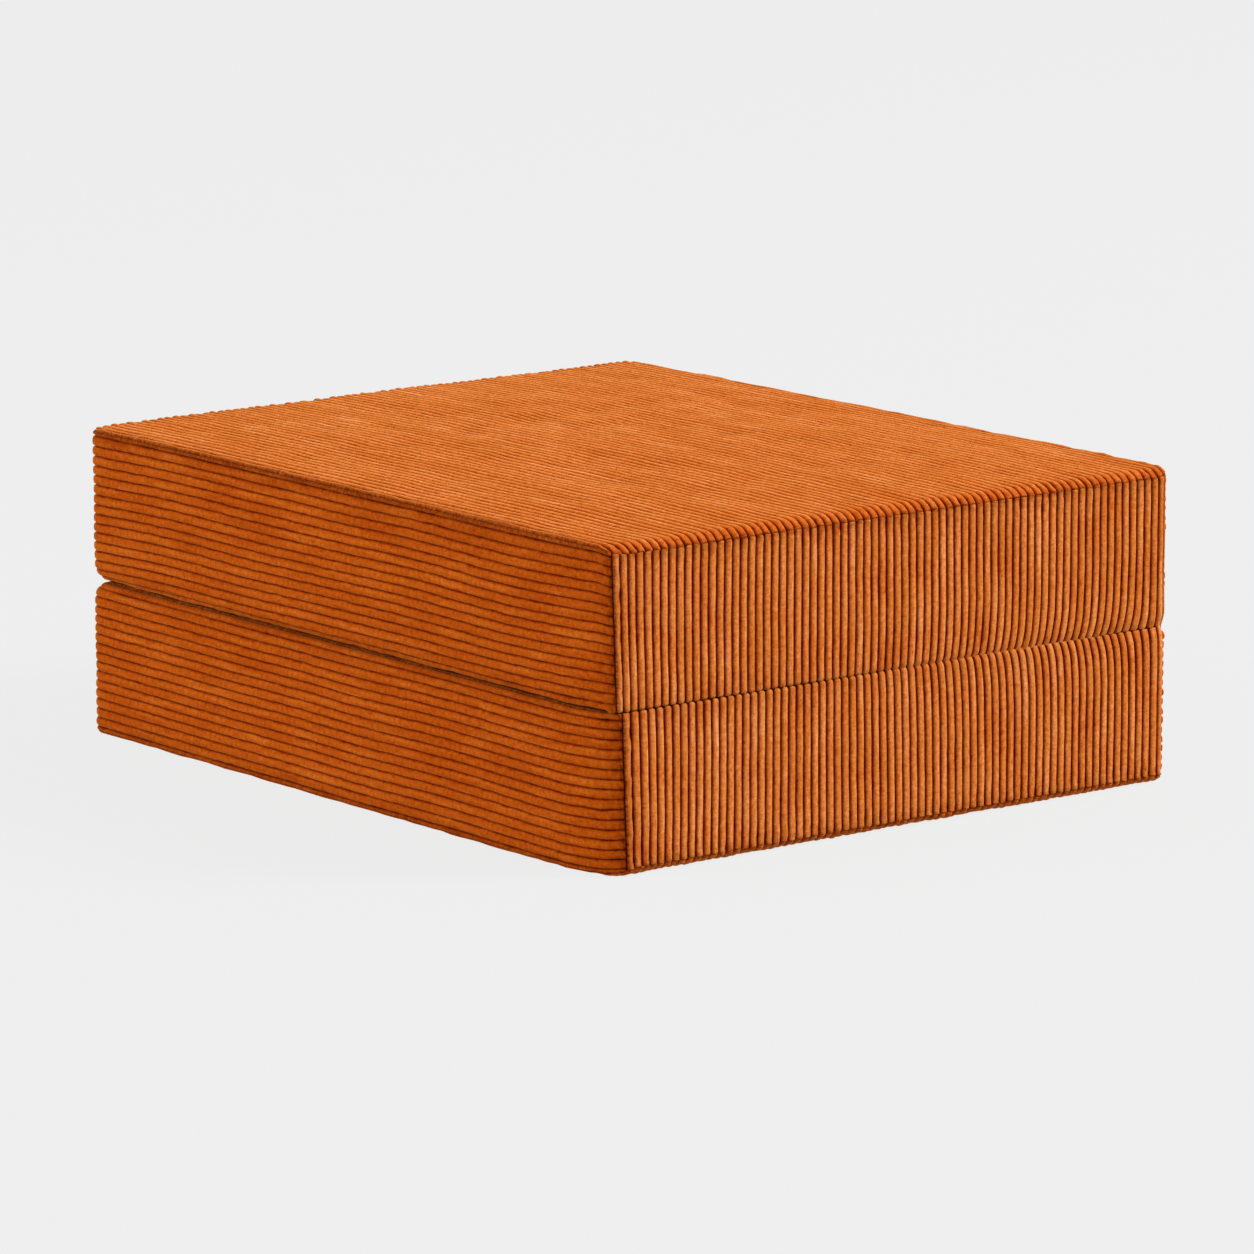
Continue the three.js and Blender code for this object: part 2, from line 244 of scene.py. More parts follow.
def corner_shift(points, upper, inset=0.0):
    """How far points move across where the near corner is pulled over, and how fast that grows with x.

    inset is how deep under the skin the points lie.
    """
    near = near_side(upper)
    pull = corner_pull(np.clip(points[..., 2] / THICKNESS, 0, 1), upper)
    forward = np.clip(1 - (HALF_LENGTH - inset - points[..., 0]) / PULL_LENGTH, 0, 1)
    sideways = np.clip(1 - (HALF_WIDTH - inset - near * points[..., 1]) / PULL_WIDTH, 0, 1) ** 2
    return -near * pull * forward ** 2 * sideways, 2 * pull * forward / PULL_LENGTH * sideways


def squared(base, normal, upper):
    """Makes each corner squarer than the plan outline's round one, by its own amount, and pulls the
    near one along the hinge face."""
    u = np.maximum(np.abs(base[..., 0]) - CORE_X, 0)
    w = np.maximum(np.abs(base[..., 1]) - CORE_Y, 0)
    reach = np.hypot(u, w)
    inside = reach > 1e-9
    c = np.where(inside, u / np.maximum(reach, 1e-9), 1)
    d = np.where(inside, w / np.maximum(reach, 1e-9), 0)
    at_near_side = base[..., 1] * near_side(upper) > 0
    front_power = np.where(at_near_side, NEAR_CORNER_POWER, FAR_CORNER_POWER)
    back_power = np.where(at_near_side, BACK_NEAR_CORNER_POWER, BACK_FAR_CORNER_POWER)
    n = np.where(base[..., 0] > 0, front_power, back_power)
    amount = smooth(reach, 0.3 * CORNER, 0.9 * CORNER) * (u > 0) * (w > 0)
    grow = 1 + ((c ** n + d ** n) ** (-1 / n) - 1) * amount
    end = np.sign(base[..., 0])
    side = np.sign(base[..., 1])
    base = base.copy()
    base[..., 0] += end * u * (grow - 1)
    base[..., 1] += side * w * (grow - 1)
    level = np.hypot(normal[..., 0], normal[..., 1])
    squarer = stacked(end * c ** (n - 1), side * d ** (n - 1))
    squarer *= (level / np.maximum(np.linalg.norm(squarer, axis=-1), 1e-9))[..., None]
    normal = normal.copy()
    normal[..., :2] += (squarer - normal[..., :2]) * amount[..., None]
    shift, slope = corner_shift(base, upper)
    base[..., 1] += shift
    normal[..., 0] += slope * np.abs(normal[..., 1])
    normal /= np.linalg.norm(normal, axis=-1, keepdims=True)
    return base, normal


def band_skin(s, share, upper):
    """Points and normals of the bands: s round the panel, and a share of the band from its outer seam."""
    point, out = plan_outline(s)
    sheet_radius, band_radius = outer_radii(out)
    inner_radius = crease_radius(point[..., 0], point[..., 1], upper)
    rise = sheet_radius * (1 - math.cos(SHEET_TURN)) + band_radius * math.sin(SEAM_TILT)
    rolled = band_radius * SEAM_TILT
    flat = THICKNESS - rise - inner_radius
    q = share * (rolled + flat + inner_radius * INNER_SEAM_TILT)
    outer_tilt = np.minimum(q / band_radius - SEAM_TILT, 0)
    inner_tilt = np.maximum(q - rolled - flat, 0) / inner_radius
    inset = band_radius * (1 - np.cos(outer_tilt)) + inner_radius * (1 - np.cos(inner_tilt))
    straight = np.clip(q - rolled, 0, flat)
    z = rise + straight + band_radius * np.sin(outer_tilt) + inner_radius * np.sin(inner_tilt)
    tilt = outer_tilt + inner_tilt
    base = np.concatenate([point - inset[..., None] * out, z[..., None]], -1)
    normal = np.concatenate([np.cos(tilt)[..., None] * out, np.sin(tilt)[..., None]], -1)
    return squared(base, normal, upper)


def sheet_skin(x, y, outer, upper):
    """Points and normals of an outer or inner sheet, for cloth coordinates x and y."""
    dx = np.sign(x) * np.maximum(np.abs(x) - CORE_X, 0)
    dy = np.sign(y) * np.maximum(np.abs(y) - CORE_Y, 0)
    reach = np.hypot(dx, dy)
    out = stacked(dx, dy) / np.maximum(reach, 1e-9)[..., None]
    core = stacked(np.clip(x, -CORE_X, CORE_X), np.clip(y, -CORE_Y, CORE_Y))
    if outer:
        radius, band_radius = outer_radii(out)
        limit = SHEET_TURN
        band_inset = band_radius * (1 - math.cos(SEAM_TILT))
        full_reach = OUTER_SHEET_REACH
    else:
        edge = core + CORNER * out
        radius = crease_radius(edge[..., 0], edge[..., 1], upper)
        limit = math.pi / 2 - INNER_SEAM_TILT
        band_inset = radius * (1 - math.cos(INNER_SEAM_TILT))
        full_reach = INNER_SHEET_REACH
    straight = CORNER - band_inset - radius * math.sin(limit)
    path = reach / full_reach * (straight + radius * limit)
    turn = np.maximum(path - straight, 0) / radius
    level = np.minimum(path, straight) + radius * np.sin(turn)
    drop = radius * (1 - np.cos(turn))
    plan = core + level[..., None] * out
    z = drop if outer else THICKNESS - drop
    up = -np.cos(turn) if outer else np.cos(turn)
    base = np.concatenate([plan, z[..., None]], -1)
    normal = np.concatenate([np.sin(turn)[..., None] * out, up[..., None]], -1)
    return squared(base, normal, upper)


def softened(base, normal, upper):
    """Adds the swellings of foam in a sewn cover, crowns the stack's top and closes the crease."""
    x = base[..., 0] / HALF_LENGTH
    y = base[..., 1] / HALF_WIDTH
    z = base[..., 2] / THICKNESS
    hump_x = np.sqrt(np.clip(1 - x * x, 0, 1))
    hump_y = np.sqrt(np.clip(1 - y * y, 0, 1))
    belly = np.clip(4 * z * (1 - z), 0, 1)
    swell = 1 + 0.5 * SWELL(base + (2 if upper else 1))
    shift = np.zeros_like(base)
    shift[..., 0] = HINGE_FACE_SWELL * normal[..., 0] * belly * hump_y * swell
    shift[..., 1] = SIDE_SWELL * normal[..., 1] * belly * hump_x * swell
    if upper:
        crown = 1 - smooth(z, 0.0, 0.15)
        shift[..., 2] -= crown * hump_x * hump_y * (CROWN + 0.0008 * SWELL(base) + 0.0004 * DENT(base))
    shift[..., 0] = np.minimum(shift[..., 0], HALF_LENGTH - FRONT_ROOM - base[..., 0])
    at_crease = smooth(base[..., 2], THICKNESS - 0.008, THICKNESS - 0.002)
    beyond_x = np.maximum(base[..., 0] - CORE_X, 0)
    beyond_y = np.maximum(np.abs(base[..., 1]) - CORE_Y, 0)
    at_edge = smooth(np.hypot(beyond_x, beyond_y), CORNER - LIP_DEPTH, CORNER - 0.6 * LIP_DEPTH)
    at_front = smooth(base[..., 0], CORE_X - 0.004, CORE_X + 0.008)
    opening = crease_radius(base[..., 0], base[..., 1], upper) - CREASE_RADIUS
    closing = CREASE_CLOSING + WIDE_CREASE_CLOSING * opening
    shift[..., 2] += closing * at_crease * at_edge * at_front
    return base + shift


# From the skin to the stack

def in_stack(points, upper):
    """Moves points from the panel's own place into the stack, turning the upper panel over."""
    points = points + np.array([PANEL_MIDDLE_X, 0, 0])
    if upper:
        return points * np.array([1, -1, -1]) + np.array([0, 0, STACK_HEIGHT])
    return points


def prefix_of(upper):
    return "upper" if upper else "lower"


def linked(name, mesh):
    piece = bpy.data.objects.new(name, mesh)
    bpy.context.scene.collection.objects.link(piece)
    return piece


def mesh_of(name, points, faces):
    """A smooth-shaded mesh from arrays of points and of faces, all with the same number of corners."""
    points = np.asarray(points, np.float32).reshape(-1, 3)
    faces = np.asarray(faces, np.int32)
    mesh = bpy.data.meshes.new(name)
    mesh.vertices.add(len(points))
    mesh.vertices.foreach_set("co", points.reshape(-1))
    mesh.loops.add(faces.size)
    mesh.loops.foreach_set("vertex_index", faces.reshape(-1))
    mesh.polygons.add(len(faces))
    mesh.polygons.foreach_set("loop_start", np.arange(0, faces.size, faces.shape[1], dtype=np.int32))
    mesh.polygons.foreach_set("use_smooth", np.full(len(faces), True))
    mesh.update(calc_edges=True)
    return mesh


def grid_faces(rows, columns, wrap=False):
    """The quads of a grid of points, which closes round its columns if wrap is true."""
    index = np.arange(rows * columns).reshape(rows, columns)
    if wrap:
        index = np.concatenate([index, index[:, :1]], 1)
    return np.stack([index[:-1, :-1], index[:-1, 1:], index[1:, 1:], index[1:, :-1]], -1).reshape(-1, 4)


def paint(mesh, name, values):
    """Stores a number, or a vector, at each point of a mesh."""
    vector = values.shape[-1] == 3 and values.ndim > 2
    attribute = mesh.attributes.new(name, "FLOAT_VECTOR" if vector else "FLOAT", "POINT")
    attribute.data.foreach_set("vector" if vector else "value", values.reshape(-1).astype(np.float32))


# Cover pieces

def rib_profile(t, share=RIB_SHARE, end=0.0):
    """The height of a rib from 0 in the groove to 1, t across it from 0 to 1.

    end grows from 0 to 1 towards the rib's own end, which it rounds off in the shape of a U.
    """
    return np.sqrt(np.clip(1 - np.abs((2 * t - 1) / share) ** 3 - end ** 2, 0, 1))


def across_ribs(start, end, pitch, origin=0.0):
    """Sample places across ribs from start to end, finest by the grooves, and where in a rib each is."""
    first = math.floor((start - origin) / pitch) - 1
    last = math.ceil((end - origin) / pitch) + 1
    places = np.array([origin + (k + t) * pitch for k in range(first, last) for t in RIB_STEPS])
    inside = places[(places > start + 0.02 * pitch) & (places < end - 0.02 * pitch)]
    v = np.concatenate([[start], inside, [end]])
    return v, np.mod((v - origin) / pitch, 1.0)


def rounded_end(distance, length, floor):
    """How much of a rib is left near a seam, where it rounds off and the stitches pull it down."""
    t = np.clip(distance / length, 0, 1)
    return floor + (1 - floor) * np.sqrt(1 - (1 - t) ** 2)


def puckers(base, distance, strength):
    """Small gathers in the cloth just inside a seam."""
    inside = smooth(distance, 0.0, 0.004) * (1 - smooth(distance, 0.008, 0.022))
    return strength * inside * PUCKER(base)


def places_between(start, end, step, *fine):
    """Even places from start to end, with extra places just inside it."""
    even = np.linspace(start, end, max(2, int(round((end - start) / step)) + 1))
    return np.unique(np.round(np.concatenate([even, *fine]), 7))


SEAM_STEPS = np.array([0.0003, 0.0008, 0.0015, 0.0024, 0.0036, 0.0052, 0.0075])


def hemmed(values, inwards):
    """Adds a turned-in hem round a grid of points, so that no edge shows its thickness."""
    rows = np.concatenate([inwards[:1], values, inwards[-1:]], 0)
    ends = np.concatenate([inwards[:1], inwards, inwards[-1:]], 0)
    return np.concatenate([ends[:, :1], rows, ends[:, -1:]], 1)


def cover_piece(name, upper, skin, height, edge, cloth, face_sheen, groove=0.0):
    """A ribbed cover piece, on a grid of points.

    skin is the grid's points and normals, height that of the ribs, edge the distance from a seam, and
    cloth the coordinates in the cloth: along the ribs, across them, and a number of the piece's own.
    The number after cloth is painted sheen, set per piece for how the light falls on its face: 0 looks
    deep and red, and 1 looks pale. groove is how much of the pile's tone the grooves keep under painted
    shade.
    """
    base, normal = skin
    points = softened(base, normal, upper) + normal * (height - RIB_HEIGHT)[..., None]
    if not upper:
        points[..., 2] = np.maximum(points[..., 2], 0.0)
    points = in_stack(hemmed(points, points - HEM * normal), upper)
    across = points[len(points) // 2 + 1] - points[len(points) // 2]
    along = points[:, 1:] - points[:, :-1]
    outwards = normal * (np.array([1, -1, -1]) if upper else 1)
    middle = (len(points) // 2, points.shape[1] // 2)
    facing = np.cross(along[middle], across[middle[1]])
    turned = np.dot(facing, outwards[middle[0] - 1, middle[1] - 1]) < 0
    faces = grid_faces(*points.shape[:2])
    label = f"{prefix_of(upper)}_{name}"
    mesh = mesh_of(f"{label}_cloth", points, faces[:, ::-1] if turned else faces)
    # The ribs' height, which the material also turns into painted shade in the grooves.
    rib = groove + (1 - groove) * np.clip(height / RIB_HEIGHT, 0, 1)
    paint(mesh, "rib", hemmed(rib, np.zeros_like(height)))
    # Where the gathers' painted shade and highlight go: just inside a seam.
    paint(mesh, "seam", hemmed(1 - smooth(edge, 0, 0.005), np.ones_like(edge)))
    # Painted shade that darkens the cloth as it nears a seam, an edge or the crease.
    paint(mesh, "seam_shade", hemmed(np.exp(-edge / SEAM_SHADE_WIDTH), np.ones_like(edge)))
    # Painted sheen, one number for the whole piece, set for how the light falls on its face: most on the
    # hinge face, less on the sheets, least on the bands.
    paint(mesh, "face_sheen", hemmed(np.full_like(edge, face_sheen), np.full_like(edge, face_sheen)))
    paint(mesh, "cloth", hemmed(cloth, cloth))
    piece = linked(f"{label}_cloth", mesh)
    mesh.materials.append(CORDUROY)
    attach(piece, f"{prefix_of(upper)}_panel")
    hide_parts(label)
    return piece


CORNER_SEAM = CORE_Y + 0.5 * ARC


def front_outline(share, upper):
    """Arc lengths across the front between its corner seams, and the y of the skin there, at a share."""
    s = np.linspace(-CORNER_SEAM, CORNER_SEAM, 1200)
    return s, band_skin(s, np.full_like(s, share), upper)[0][:, 1]


def seam_y(share, upper):
    """The y of the near corner's seam, as a distance from the panel's middle."""
    return float(np.abs(front_outline(share, upper)[1][-1 if upper else 0]))


def rib_origin(upper):
    """The y at which the first rib starts, on the hinge face and on the sheets that it runs on from."""
    return near_side(upper) * seam_y(0.5, upper)


def sheet(name, upper, outer):
    """A sheet: its ribs run along X, and it rolls over the edges down to its seam. The fold tape
    presses the ribs of an inner sheet down."""
    reach = OUTER_SHEET_REACH if outer else INNER_SHEET_REACH
    top_y = CORE_Y + reach
    v, phase = across_ribs(-top_y, top_y, RIB_PITCH, origin=rib_origin(upper))
    over = np.maximum(np.abs(v) - CORE_Y, 0)
    end_x = CORE_X + np.sqrt(np.maximum(reach ** 2 - over ** 2, 0))
    roll = 1 - np.linspace(0.010, 0.058, 11)
    half = places_between(0, 1, 0.036, 1 - SEAM_STEPS / HALF_LENGTH, roll)
    u = np.concatenate([-half[:0:-1], half])
    x = u[:, None] * end_x[None, :]
    y = np.broadcast_to(v[None, :], x.shape).copy()
    cloth = stacked(x, y, 3.0 + 2 * upper + outer)
    core = np.clip((1 - (y / top_y) ** 8) * (1 - (x / end_x[None, :]) ** 8), 0, 1)
    y += (0.0005 * SWAY(cloth) + 0.0001 * RIPPLE(cloth)) * core
    skin = sheet_skin(x, y, outer, upper)
    to_end = end_x[None, :] - np.abs(x)
    to_side = top_y - np.abs(y)
    height = RIB_HEIGHT * rib_profile(phase)[None, :] * (1 + 0.07 * PLUMP(cloth))
    height = height * rounded_end(to_end, 0.003, 0.5) * rounded_end(to_side, 0.003, 0.4)
    edge = np.minimum(to_end, to_side)
    height += puckers(skin[0], edge, 0.0005)
    if not outer:
        height *= 1 - 0.15 * smooth(x, FOLD_TAPE_START - 0.003, FOLD_TAPE_START)
    return cover_piece(name, upper, skin, height, edge, cloth, face_sheen=0.45, groove=0.3)


def hinge_face(upper):
    """The hinge face: upright ribs from the outer seam to the crease, and a seam down each corner.

    Towards the far corner the ribs sweep over at the crease.
    """
    near = near_side(upper)
    far_y = float(np.abs(front_outline(0.5, upper)[1][0 if upper else -1]))
    width = seam_y(0.5, upper) + far_y
    t, phase = across_ribs(0, width, RIB_PITCH)
    crease = 1 - np.linspace(0, 0.055, 12)
    share = places_between(0, 1, 0.033, SEAM_STEPS / THICKNESS, crease)
    tt, qq = np.meshgrid(t, share)
    cloth = stacked(qq * THICKNESS, tt, 9.0 + upper)
    inside = np.minimum(tt, width - tt)
    sway = (0.0009 * SWAY(cloth) + 0.00012 * RIPPLE(cloth)) * smooth(inside, 0, 0.03)
    swept = RIB_SWEEP * smooth(t / width, 0.3, 0.85) * (1 - smooth(t / width, 0.92, 1))
    s = np.empty_like(tt)
    for row, one_share in enumerate(share):
        lean = (seam_y(one_share, upper) - seam_y(0.5, upper)) * np.exp(-t / 0.035)
        lean += swept * math.exp((one_share - 1) * THICKNESS / 0.018)
        places, y = front_outline(one_share, upper)
        s[row] = np.interp(near * (seam_y(0.5, upper) - t + lean) + sway[row], y, places)
    skin = band_skin(s, qq, upper)
    above_seam = qq * THICKNESS
    below_crease = (1 - qq) * THICKNESS
    rib_end = np.clip(1 - below_crease / RIB_END_LENGTH, 0, 1)
    height = RIB_HEIGHT * rib_profile(phase[None, :], HINGE_RIB_SHARE, rib_end) * (1 + 0.07 * PLUMP(cloth))
    height = height * rounded_end(above_seam, 0.003, 0.6) * rounded_end(inside, 0.002, 0.6)
    height += puckers(skin[0], above_seam, 0.0003) + puckers(skin[0], tt, 0.0005)
    edge = np.minimum(np.minimum(above_seam, below_crease), inside)
    return cover_piece("hinge_face", upper, skin, height, edge, cloth, face_sheen=1.0)


def band_ribs(first=0.0, last=1.0):
    """Sample places across a band's level ribs, as shares of its width, and where in a rib each is."""
    pitch = 1 / (BAND_RIBS + 0.5)
    return across_ribs(first, last, pitch, origin=-0.5 * pitch)


def side_band(name, upper, side):
    """A side band: level ribs from the corner seam by the hinge face, round to the back seam."""
    start = CORNER_SEAM
    end = CORE_Y + 2 * ARC + SIDE_LENGTH + CORE_Y - BACK_SEAM
    share, phase = band_ribs()
    front_corner = np.linspace(start, CORE_Y + ARC, 9) - start
    back_corner = CORE_Y + ARC + SIDE_LENGTH + np.linspace(0, 1, 12) * ARC - start
    last_steps = end - start - SEAM_STEPS
    t = places_between(0, end - start, 0.009, SEAM_STEPS, front_corner, back_corner, last_steps)
    tt, qq = np.meshgrid(t, share, indexing="ij")
    cloth = stacked(tt, qq * THICKNESS, 12.0 + side + 3 * upper)
    core = np.clip(1 - (2 * qq - 1) ** 6, 0, 1)
    wander = (0.0014 * SWAY(cloth) + 0.00025 * RIPPLE(cloth)) / THICKNESS * core
    skin = band_skin(side * (start + tt), qq + wander, upper)
    along = np.minimum(tt, end - start - tt)
    across = np.minimum(qq, 1 - qq) * THICKNESS
    height = BAND_RIB_HEIGHT * rib_profile(phase)[None, :] * (1 + 0.10 * PLUMP(cloth))
    height = height * rounded_end(along, 0.0035, 0.25) * rounded_end(across, 0.003, 0.5)
    height += puckers(skin[0], along, 0.0004) + puckers(skin[0], across, 0.0004)
    height += RIB_HEIGHT - BAND_RIB_HEIGHT
    edge = np.minimum(along, across)
    return cover_piece(name, upper, skin, height, edge, cloth, face_sheen=0.15, groove=0.3)


def back_share(z):
    """The share of the band's width at which the skin of the back is at a height."""
    share = np.linspace(0, 1, 400)
    middle = np.full_like(share, 2 * CORE_Y + 2 * ARC + SIDE_LENGTH)
    return float(np.interp(z, band_skin(middle, share, False)[0][:, 2], share))


def back_band_half(name, upper, outer_half):
    """Half of the back band, between the outer or inner seam and the zipper."""
    if outer_half:
        first, last = 0.0, back_share(BACK_OUTER_HIGH.z)
    else:
        first, last = back_share(BACK_INNER_LOW.z), 1.0
    share, phase = band_ribs(first, last)
    middle = 2 * CORE_Y + 2 * ARC + SIDE_LENGTH
    t = places_between(-BACK_SEAM, BACK_SEAM, 0.009, BACK_SEAM - SEAM_STEPS, SEAM_STEPS - BACK_SEAM)
    tt, qq = np.meshgrid(t, share, indexing="ij")
    cloth = stacked(tt, qq * THICKNESS, 20.0 + 2 * upper + outer_half)
    skin = band_skin(middle + tt, qq, upper)
    along = BACK_SEAM - np.abs(tt)
    lip = np.abs(qq - (last if outer_half else first)) * THICKNESS
    height = BAND_RIB_HEIGHT * rib_profile(phase)[None, :] * (1 + 0.10 * PLUMP(cloth))
    stitched = 1 - 0.55 * np.exp(-((lip - 0.006) / 0.0012) ** 2)
    height = height * rounded_end(along, 0.0035, 0.25) * rounded_end(lip, 0.0025, 0.3) * stitched
    height += puckers(skin[0], along, 0.0007) + puckers(skin[0], lip, 0.0003)
    height += RIB_HEIGHT - BAND_RIB_HEIGHT
    edge = np.minimum(np.minimum(along, lip), np.minimum(qq, 1 - qq) * THICKNESS)
    return cover_piece(name, upper, skin, height, edge, cloth, face_sheen=0.15, groove=0.3)


# Inside the cover, first worked out for the lower panel

def panel_box(node):
    """The lowest and highest corners of a lower panel's node, with x measured from the panel's middle."""
    low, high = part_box(f"lower_{node}")
    middle = Vector((PANEL_MIDDLE_X, 0, 0))
    return np.array(low - middle), np.array(high - middle)


def rounded_block(low, high, corner, edges, step):
    """Points and quads of a block with round upright corners, and round edges below and above."""
    bend = np.array([0, 0.2, 0.45, 0.72])
    places = []
    for axis in range(3):
        first, last = edges if axis == 2 else (corner, corner)
        middle = places_between(low[axis] + first, high[axis] - last, step)
        places.append(np.concatenate([low[axis] + first * bend, middle, high[axis] - last * bend[::-1]]))
    points = []
    faces = []
    count = 0
    for axis in range(3):
        across, up = (axis + 1) % 3, (axis + 2) % 3
        for end in (low, high):
            uu, vv = np.meshgrid(places[across], places[up], indexing="ij")
            side = np.empty(uu.shape + (3,))
            side[..., axis] = end[axis]
            side[..., across] = uu
            side[..., up] = vv
            quads = grid_faces(*uu.shape) + count
            faces.append(quads[:, ::-1] if end is high else quads)
            points.append(side.reshape(-1, 3))
            count += uu.size
    points, index = np.unique(np.round(np.concatenate(points), 6), axis=0, return_inverse=True)
    faces = index.reshape(-1)[np.concatenate(faces)]

    middle = (low + high) / 2
    half = (high - low) / 2
    offset = points - middle
    beyond = np.maximum(np.abs(offset[:, :2]) - (half[:2] - corner), 0)
    length = np.maximum(np.linalg.norm(beyond, axis=1), 1e-9)
    out = np.sign(offset[:, :2]) * beyond / length[:, None]
    furthest = beyond.max(1)
    points[:, :2] -= out * (length - furthest)[:, None]

    edge = np.where(offset[:, 2] < 0, edges[0], edges[1])
    outwards = np.maximum(edge - corner + furthest, 0)
    upwards = np.maximum(np.abs(offset[:, 2]) - (half[2] - edge), 0)
    longest = np.maximum(outwards, upwards)
    pulled_in = 1 - longest / np.maximum(np.hypot(outwards, upwards), 1e-9)
    points[:, :2] -= out * (outwards * pulled_in)[:, None]
    points[:, 2] -= np.sign(offset[:, 2]) * upwards * pulled_in
    return points, faces


def inner_piece(name, upper, points, faces, material, node):
    """A piece inside the cover, which leans over with it at the near corner."""
    points = points.copy()
    points[:, 1] += corner_shift(points, upper, inset=INNER_INSET)[0]
    mesh = mesh_of(name, in_stack(points, upper), faces)
    mesh.materials.append(material)
    piece = linked(name, mesh)
    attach(piece, f"{prefix_of(upper)}_panel")
    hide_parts(node)
    return piece


def inner_liner(upper):
    """A knitted bag round the foam, with an opening at the back that the foam goes in by."""
    low, high = panel_box("inner_liner")
    points, faces = rounded_block(low, high, 0.018, (0.009, 0.016), 0.03)
    points += 0.0003 * stacked(DENT(points), RIPPLE(points), DENT(points + 1))
    centres = points[faces].mean(1)
    half_opening = np.array([LINER_OPENING[0] / 2, LINER_OPENING[1] / 2])
    near_middle = np.abs(centres[:, 1:] - (low + high)[1:] / 2) < half_opening
    opening = (centres[:, 0] < low[0] + 0.001) & near_middle.all(1)
    prefix = prefix_of(upper)
    piece = inner_piece(
        f"{prefix}_liner", upper, points, faces[~opening], LINER_KNIT, f"{prefix}_inner_liner"
    )


def foam_block(name, upper, edges, material):
    """A layer of foam, with its own radii on its edges below and above."""
    low, high = panel_box(name)
    points, faces = rounded_block(low, high, 0.017, edges, 0.05)
    label = f"{prefix_of(upper)}_{name}"
    inner_piece(f"{label}_block", upper, points, faces, material, label)


# The zippers

def zipper_tape(name, upper):
    """A woven tape, sewn to half of the back band, that carries one row of the zipper's coil. Its ends
    are tucked under the side bands."""
    low, high = panel_box(name)
    end = high[1] + TAPE_TUCK
    y, z = np.meshgrid(np.linspace(-end, end, 160), np.linspace(low[2], high[2], 9), indexing="ij")
    points = stacked((low[0] + high[0]) / 2, y, z)
    points[..., 0] += 0.0002 * RIPPLE(points)
    prefix = prefix_of(upper)
    mesh = mesh_of(f"{prefix}_{name}_weave", in_stack(points, upper), grid_faces(*y.shape))
    paint(mesh, "cloth", stacked(y, z, np.zeros_like(y)))
    mesh.materials.append(TAPE_WEAVE)
    piece = linked(mesh.name, mesh)
    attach(piece, f"{prefix}_panel")
    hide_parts(f"{prefix}_{name}")


def zipper_coil(name, upper, half_turn):
    """A row of the zipper: a nylon thread in a flattened coil, whose turns lie between the other row's."""
    low, high = panel_box(name)
    middle = (low + high) / 2
    reach = (high - low) / 2 - COIL_THREAD
    turns = int((high[1] - low[1] - 2 * COIL_THREAD) / COIL_PITCH - 1)
    angle = np.arange(turns * COIL_TURN_STEPS + 1) * (2 * math.pi / COIL_TURN_STEPS)
    y = low[1] + COIL_THREAD + (angle / (2 * math.pi) + half_turn) * COIL_PITCH
    squarish = np.sign(np.cos(angle)) * np.abs(np.cos(angle)) ** 0.8
    path = stacked(middle[0] + reach[0] * np.sin(angle), y, middle[2] + reach[2] * squarish)
    radial = stacked(reach[2] * np.sin(angle), np.zeros_like(angle), reach[0] * np.cos(angle))
    radial /= np.linalg.norm(radial, axis=1, keepdims=True)
    turn = np.arange(COIL_THREAD_SIDES) * (2 * math.pi / COIL_THREAD_SIDES)
    outwards = np.cos(turn)[None, :, None] * radial[:, None, :]
    sideways = np.sin(turn)[None, :, None] * np.array([0, 1, 0])
    points = path[:, None, :] + COIL_THREAD * (outwards + sideways)
    label = f"{prefix_of(upper)}_{name}"
    faces = grid_faces(len(path), COIL_THREAD_SIDES, wrap=True)
    mesh = mesh_of(f"{label}_coil", in_stack(points, upper), faces)
    mesh.materials.append(ZIPPER_NYLON)
    piece = linked(mesh.name, mesh)
    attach(piece, f"{prefix_of(upper)}_panel")
    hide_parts(label)


def metal_part(node, body):
    """A metal part of a zipper, with its edges eased."""
    shape = bmesh.new()
    shape.from_mesh(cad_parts[node].data)
    bmesh.ops.remove_doubles(shape, verts=shape.verts, dist=1e-6)
    sharp = [edge for edge in shape.edges if edge.is_manifold and edge.calc_face_angle() > 0.6]
    settings = {"segments": 2, "profile": 0.5, "affect": "EDGES", "clamp_overlap": True}
    bmesh.ops.bevel(shape, geom=sharp, offset=METAL_BEVEL, **settings)
    mesh = bpy.data.meshes.new(f"{node}_cast")
    shape.to_mesh(mesh)
    shape.free()
    mesh.materials.append(ZIPPER_METAL)
    piece = linked(mesh.name, mesh)
    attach(piece, body)
    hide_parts(node)


def zipper(upper):
    """A panel's zipper: two tapes with their coils, the stops, the slider and its pull."""
    prefix = prefix_of(upper)
    for half, half_turn in (("outer", 0.0), ("inner", 0.5)):
        zipper_tape(f"zipper_tape_{half}", upper)
        zipper_coil(f"zipper_teeth_{half}", upper, half_turn)
    metal_part(f"{prefix}_zipper_top_stop", f"{prefix}_panel")
    metal_part(f"{prefix}_zipper_bottom_stop", f"{prefix}_panel")
    metal_part(f"{prefix}_zipper_slider", f"{prefix}_slider")
    metal_part(f"{prefix}_zipper_pull", f"{prefix}_pull")


# The tape that joins the panels

